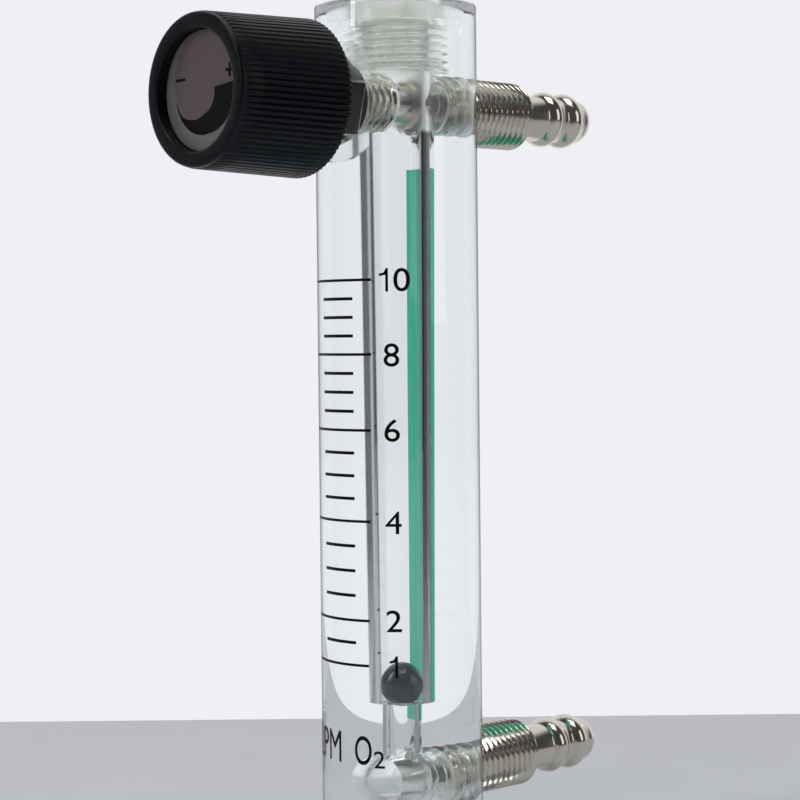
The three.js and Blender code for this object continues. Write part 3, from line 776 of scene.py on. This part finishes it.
def spindle():
    low, high = corners("spindle")
    tip, end = -high.y, -low.y
    shank = (high.x - low.x) / 2
    needle, taper, tip_r = 1.2, 2.9, 0.25
    seal_start = FRONT_SEAT - 3.25
    seal_end = seal_start + 1.05
    groove = 1.25
    outline = [
        (0, tip), (tip_r, tip + 0.05), (needle, tip + taper), (needle, BUSHING_IN - 0.5),
        (shank - 0.2, BUSHING_IN - 0.5), (shank, BUSHING_IN - 0.3), (shank, seal_start),
        (groove, seal_start), (groove, seal_end), (shank, seal_end),
        *[(shank, y) for y in rows(seal_end + 1, NUT_END, 0.5)], (shank, end - 0.3), (shank - 0.3, end),
        (1.37, end), (1.37, end - 6), (0, end - 6),
    ]
    bm = spun(outline, 64)
    cut_thread(bm, shank, seal_end + 1, NUT_END, 0.5, 0.28)
    finished(bm, "needle_spindle", STEEL, "valve_spindle", "spindle", to_front(UPPER_Z))


def float_ball():
    half_circle = arc((0, FLOAT_Z), FLOAT_R, -90, 90, 40)
    outline = [(0, half_circle[0][1]), *half_circle[1:-1], (0, half_circle[-1][1])]
    finished(spun(outline, 80), "ball_float", GLASS, "float", "float_ball")


# Knob

RIBS = 80
RIB_DEPTH = 0.2


def knob():
    wall, edge, draft = 1.7, 0.42, 0.5
    label, label_seat = LABEL_R + 0.1, LABEL_BACK - 0.05
    hub, grip, web_back = 4.0, 2.07, label_seat - 3.0
    head, shank, screw_seat = 2.4, 1.37, label_seat - 1.5
    rib_start, rib_end = KNOB_BACK + 0.3, KNOB_FRONT - 0.95
    front = KNOB_R - draft - 0.12
    inside = front - wall
    ribs = [(KNOB_R - draft * i / 6, rib_start + (rib_end - rib_start) * i / 6) for i in range(7)]
    outline = [
        (inside, KNOB_BACK), (KNOB_R - 0.35, KNOB_BACK), *ribs, (front, rib_end + 0.16),
        *arc((front - edge, KNOB_FRONT - edge), edge, 0, 90, 8),
        *arc((label + 0.3, KNOB_FRONT - 0.3), 0.3, 90, 180, 5)[:-1],
        (label, KNOB_FRONT - 0.3), (label, label_seat), (head, label_seat),
        (head, screw_seat), (shank, screw_seat), (shank, web_back), (grip, web_back), (grip, KNOB_BACK),
        (hub, KNOB_BACK), (hub, web_back), (inside, web_back),
    ]
    bm = spun(outline, RIBS * 8, closed=True)
    for vert in bm.verts:
        r = math.hypot(vert.co.x, vert.co.y)
        if vert.co.z < rib_end + 0.01 and r > KNOB_R - draft - 0.1:
            angle = math.atan2(vert.co.y, vert.co.x)
            groove = max(0.0, math.cos(RIBS * angle)) ** 1.5
            share = 1 - RIB_DEPTH * groove / r
            vert.co.x *= share
            vert.co.y *= share
    finished(bm, "ribbed_knob", ABS, "valve_knob", "knob", to_front(UPPER_Z), sharp=40)


def label():
    edge = 0.06
    outline = [
        (0, LABEL_BACK), (LABEL_R, LABEL_BACK), (LABEL_R, LABEL_FRONT - edge), (LABEL_R - edge, LABEL_FRONT),
        (0, LABEL_FRONT),
    ]
    finished(spun(outline, 128), "foil_label", FOIL, "valve_knob", "knob_label",
             to_front(UPPER_Z))


def flat_print(name, outlines, thickness, place, body, material):
    """Printed marks on a flat face: closed outlines in millimetres, raised by the ink's thickness."""
    bm = bmesh.new()
    for outline in outlines:
        bm.faces.new([bm.verts.new((x, y, 0)) for x, y in outline])
    raised = bmesh.ops.extrude_face_region(bm, geom=list(bm.faces))
    tops = [v for v in raised["geom"] if isinstance(v, bmesh.types.BMVert)]
    bmesh.ops.translate(bm, vec=(0, 0, thickness), verts=tops)
    bmesh.ops.recalc_face_normals(bm, faces=bm.faces)
    return finished(bm, name, material, body, None, place)


# Angle in degrees and inner radius of the wedge, from its thin end to its wide end
WEDGE_INSIDE = ((193, 5.5), (214, 5.25), (238, 4.2), (273, 3.0), (320, 2.6), (366, 2.4))


def label_marks():
    """A wedge that thickens round the label from less to more, with a minus and a plus at its ends."""
    def inner_radius(degrees):
        for (a, r), (b, q) in zip(WEDGE_INSIDE, WEDGE_INSIDE[1:]):
            if degrees <= b:
                return r + (q - r) * (degrees - a) / (b - a)
        return WEDGE_INSIDE[-1][1]

    def wedge():
        start, end, steps = WEDGE_INSIDE[0][0], WEDGE_INSIDE[-1][0], 72
        outer, inner = [], []
        for i in range(steps + 1):
            degrees = start + (end - start) * i / steps
            angle = math.radians(degrees)
            out_r = 5.6 + 1.2 * max(0.0, (degrees - 280) / 86)
            in_r = inner_radius(degrees)
            outer.append((out_r * math.cos(angle), out_r * math.sin(angle)))
            inner.append((in_r * math.cos(angle), in_r * math.sin(angle)))
        return outer + inner[::-1]

    def bar(x, y, width, height):
        left, right, low, high = x - width / 2, x + width / 2, y - height / 2, y + height / 2
        return [(left, low), (right, low), (right, high), (left, high)]

    marks = [wedge(), bar(-4.5, 1.65, 1.9, 0.38), bar(5.5, 2.1, 1.7, 0.42), bar(5.5, 2.65, 0.42, 0.68),
             bar(5.5, 1.55, 0.42, 0.68)]
    # Seen from the front, X runs to the right and Z up on the label's face.
    face = Matrix.Translation((0, -LABEL_FRONT - 0.01, UPPER_Z)) @ Matrix.Rotation(math.pi / 2, 4, "X")
    flat_print("label_marks", marks, 0.015, face, "valve_knob", BLACK_INK)


# Printing on the rod

INK_LIFT = 0.015
INK_T = 0.02


def wrapped(bm, name, material, radius=ROD_R + INK_LIFT):
    """Bends a flat mesh round the rod: x is the angle in degrees, y the height in millimetres."""
    raised = bmesh.ops.extrude_face_region(bm, geom=list(bm.faces))
    tops = {v for v in raised["geom"] if isinstance(v, bmesh.types.BMVert)}
    for vert in bm.verts:
        r = radius + (INK_T if vert in tops else 0)
        angle = math.radians(vert.co.x)
        vert.co = (r * math.cos(angle), r * math.sin(angle), vert.co.y)
    bmesh.ops.recalc_face_normals(bm, faces=bm.faces)
    return finished(bm, name, material, "meter", None)


def strip(bm, angle_from, angle_to, low, high, step=2.0):
    """A flat strip cut into columns, ready to be bent round the rod."""
    count = max(1, math.ceil((angle_to - angle_from) / step))
    angles = [angle_from + (angle_to - angle_from) * i / count for i in range(count + 1)]
    lower = [bm.verts.new((a, low, 0)) for a in angles]
    upper = [bm.verts.new((a, high, 0)) for a in angles]
    for i in range(count):
        bm.faces.new((lower[i], lower[i + 1], upper[i + 1], upper[i]))


SCALE_HEIGHTS = {10: 80.7, 8: 70.85, 6: 60.8, 4: 48.7, 2: 35.5, 1: 29.5}
LINE_ENDS = {10: -61.5, 8: -62, 6: -63, 4: -64, 2: -65, 1: -66}


def scale_marks():
    bm = bmesh.new()
    line, short_line = 0.36, 0.42
    for number, height in SCALE_HEIGHTS.items():
        strip(bm, -126, LINE_ENDS[number], height - line / 2, height + line / 2)
    short = [(10, 8, 4), (8, 6, 4), (6, 4, 4), (4, 2, 4), (2, 1, 2)]
    for upper, lower, parts in short:
        top, bottom = SCALE_HEIGHTS[upper], SCALE_HEIGHTS[lower]
        for i in range(1, parts):
            height = top + (bottom - top) * i / parts
            strip(bm, -108, -76, height - short_line / 2, height + short_line / 2)
    wrapped(bm, "scale_lines", BLACK_INK)


def lettering(text, weight):
    """Flat mesh of generic lettering with its lower left corner at the origin."""
    curve = bpy.data.curves.new("lettering", "FONT")
    curve.body, curve.size, curve.resolution_u, curve.offset = text, 1.0, 6, weight
    holder = bpy.data.objects.new("lettering", curve)
    bpy.context.scene.collection.objects.link(holder)
    evaluated = holder.evaluated_get(bpy.context.evaluated_depsgraph_get())
    mesh = bpy.data.meshes.new_from_object(evaluated)
    bpy.data.objects.remove(holder)
    bm = bmesh.new()
    bm.from_mesh(mesh)
    bpy.data.meshes.remove(mesh)
    bmesh.ops.remove_doubles(bm, verts=bm.verts, dist=1e-5)
    left = min(v.co.x for v in bm.verts)
    bottom = min(v.co.y for v in bm.verts)
    bmesh.ops.translate(bm, vec=(-left, -bottom, 0), verts=bm.verts)
    return bm


def put_text(target, text, angles, heights, weight=0.004):
    """Adds lettering to the flat print, fitted between two angles in degrees and two heights."""
    letters = lettering(text, weight)
    long_edges = [e for e in letters.edges if e.calc_length() > 0.15]
    bmesh.ops.subdivide_edges(letters, edges=long_edges, cuts=2)
    width = max(v.co.x for v in letters.verts)
    tall = max(v.co.y for v in letters.verts)
    for vert in letters.verts:
        vert.co.x = angles[0] + (angles[1] - angles[0]) * vert.co.x / width
        vert.co.y = heights[0] + (heights[1] - heights[0]) * vert.co.y / tall
    mesh = bpy.data.meshes.new("flat")
    letters.to_mesh(mesh)
    letters.free()
    target.from_mesh(mesh)
    bpy.data.meshes.remove(mesh)


def put_one(target, angles, heights):
    """Adds a figure one: a stem with a short flag on its left."""
    left, right = angles
    low, high = heights
    stem = right - 1.9
    drop = (high - low) * 0.24
    outline = [
        (stem, low), (right, low), (right, high), (right - 1.4, high), (stem - 1.2, high - drop * 0.75),
        (left, high - drop), (left, high - drop - 0.3), (stem, high - drop - 0.15),
    ]
    target.faces.new([target.verts.new((angle, height, 0)) for angle, height in outline])


def scale_numbers():
    bm = bmesh.new()
    put_one(bm, (-56.0, -49.6), (79.1, 82.2))
    put_text(bm, "0", (-46.0, -34.5), (79.1, 82.2))
    put_text(bm, "8", (-53.2, -42.4), (69.2, 72.3))
    put_text(bm, "6", (-53.2, -42.4), (59.3, 62.3))
    put_text(bm, "4", (-53.2, -41.8), (47.1, 50.1), 0)
    put_text(bm, "2", (-53.2, -42.4), (34.1, 37.0))
    put_one(bm, (-51.2, -45.4), (28.0, 30.9))
    put_text(bm, "LPM", (-128, -91), (16.2, 20.4), 0)
    put_text(bm, "O", (-78, -64.7), (16.2, 20.1))
    put_text(bm, "2", (-63.1, -55.2), (15.9, 18.2))
    wrapped(bm, "scale_numbers", BLACK_INK)


def sight_stripe():
    bm = bmesh.new()
    strip(bm, 69, 120, 19.8, 96.2, 1.5)
    wrapped(bm, "sight_stripe", GREEN_INK)


rod_body()
top_plug()
hose_fitting("upper_hose_fitting", "upper_fitting", UPPER_Z)
hose_fitting("lower_hose_fitting", "lower_fitting", LOWER_Z)
valve_bushing()
valve_washer()
valve_nut()
spindle()
float_ball()
knob()
label()
label_marks()
scale_marks()
scale_numbers()
sight_stripe()

CARRIED = {
    "top_plug_seal": SILICONE, "upper_fitting_seal": RUBBER, "lower_fitting_seal": RUBBER,
    "nose_seal": RUBBER, "spindle_seal": RUBBER, "knob_screw": STEEL,
}
for node, material in CARRIED.items():
    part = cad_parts[node]
    part.data.materials.clear()
    part.data.materials.append(material)


# Floor and light


def make_floor():
    # Pale grey laminate: even, with a faint mottle and a soft sheen.
    material, tree, output, place = new_material("pale_grey_laminate")
    mottle = add_node(tree, "ShaderNodeTexNoise", {"Scale": 1 / (30 * MM), "Detail": 3}, Vector=place)
    colour = add_node(tree, "ShaderNodeMix",
                      {"data_type": "RGBA", 6: linear("#d2d4da"), 7: linear("#dadce1")},
                      _0=mottle.outputs[0])
    shader = add_node(tree, "ShaderNodeBsdfPrincipled", {"Roughness": 0.55}, Base_Color=colour.outputs[2])
    tree.links.new(shader.outputs[0], output.inputs["Surface"])
    far, side, near = 0.115, 0.9, 0.9
    bm = bmesh.new()
    bmesh.ops.create_grid(bm, x_segments=1, y_segments=1, size=1.0)
    bmesh.ops.scale(bm, vec=(side, (far + near) / 2, 1), verts=bm.verts)
    bmesh.ops.translate(bm, vec=(0, (far - near) / 2, 0), verts=bm.verts)
    bm.transform(Matrix.Rotation(math.atan2(-AHEAD.x, AHEAD.y), 4, "Z"))
    bmesh.ops.translate(bm, vec=(0, 0, -0.0002), verts=bm.verts)
    mesh = bpy.data.meshes.new("floor")
    bm.to_mesh(mesh)
    bm.free()
    mesh.materials.append(material)
    floor = bpy.data.objects.new("floor", mesh)
    bpy.context.scene.collection.objects.link(floor)


def make_world():
    world = bpy.data.worlds.new("studio")
    bpy.context.scene.world = world
    world.use_nodes = True
    tree = world.node_tree
    tree.nodes.clear()
    place = tree.nodes.new("ShaderNodeTexCoord").outputs["Generated"]
    ahead = add_node(tree, "ShaderNodeVectorMath", {"operation": "DOT_PRODUCT", 1: AHEAD}, _0=place)
    share = add_node(
        tree, "ShaderNodeMapRange", {"From Min": 0.1, "From Max": 0.5, "interpolation_type": "SMOOTHSTEP"},
        Value=ahead.outputs["Value"],
    )
    strength = add_node(tree, "ShaderNodeMapRange",
                        {"To Min": 0.07, "To Max": 0.98}, Value=share.outputs[0])
    glow = add_node(tree, "ShaderNodeBackground",
                    {"Color": linear("#f1f2f6")}, Strength=strength.outputs[0])
    output = tree.nodes.new("ShaderNodeOutputWorld")
    tree.links.new(glow.outputs[0], output.inputs["Surface"])


def soft_box(name, direction, distance, size, power, colour="#ffffff"):
    """A square lamp that faces the middle of the rod."""
    lamp = bpy.data.lights.new(name, "AREA")
    lamp.shape, lamp.size, lamp.size_y = "RECTANGLE", size[0], size[1]
    lamp.energy, lamp.color = power, linear(colour)[:3]
    holder = bpy.data.objects.new(name, lamp)
    aim = Vector((0, 0, ROD_H * 0.6 * MM))
    towards = Vector(direction).normalized()
    turn = towards.to_track_quat("Z", "Y").to_matrix().to_4x4()
    holder.matrix_world = Matrix.Translation(aim + towards * distance) @ turn
    bpy.context.scene.collection.objects.link(holder)


def make_lights():
    side = Vector((RIGHT.x, RIGHT.y, 0))
    soft_box("window_left", -side * 0.9 - AHEAD * 0.5 + Vector((0, 0, 0.6)), 0.7, (0.09, 0.5), 0.9)
    soft_box("window_right", side * 0.9 - AHEAD * 0.55 + Vector((0, 0, 0.35)), 0.7, (0.30, 0.45), 0.5)
    soft_box("top_light", Vector((0, 0, 1)) - AHEAD * 0.2, 0.8, (0.45, 0.45), 2.2)


make_floor()
make_world()
make_lights()
scene = bpy.context.scene
scene.view_settings.view_transform = "Standard"
scene.cycles.max_bounces = 24
scene.cycles.transmission_bounces = 20
scene.cycles.glossy_bounces = 8
scene.cycles.transparent_max_bounces = 24
